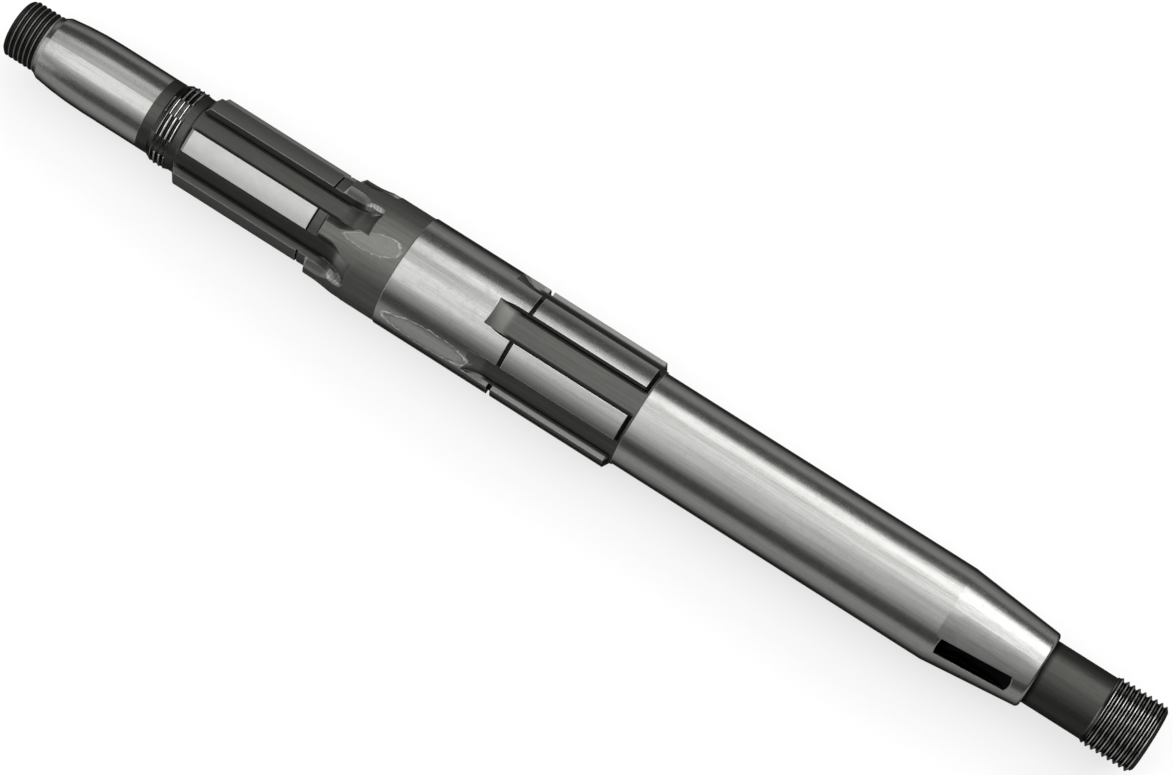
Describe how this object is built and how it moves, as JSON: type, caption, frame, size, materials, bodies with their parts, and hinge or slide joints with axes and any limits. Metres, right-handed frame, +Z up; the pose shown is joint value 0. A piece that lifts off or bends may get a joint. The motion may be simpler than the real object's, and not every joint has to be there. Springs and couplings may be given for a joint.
{
  "type": "transmission main shaft",
  "caption": "Splined gearbox main shaft with ground journals, two splined sections, a keyed clutch taper and threaded ends.",
  "frame": {"origin": "on the shaft's axis, at the shoulder where the long gear journal meets the splined body", "axes": "+X along the axis towards the clutch end with the taper and keyway, +Z up as the shaft lies, +Y to the side"},
  "size_m": [0.3322, 0.0304, 0.0304],
  "materials": {
    "hardened_steel": "ground on the journals, the lands and the taper; dark heat-treated skin elsewhere"
  },
  "bodies": {
    "root": {"main_shaft": "hardened_steel"}
  },
  "joints": []
}
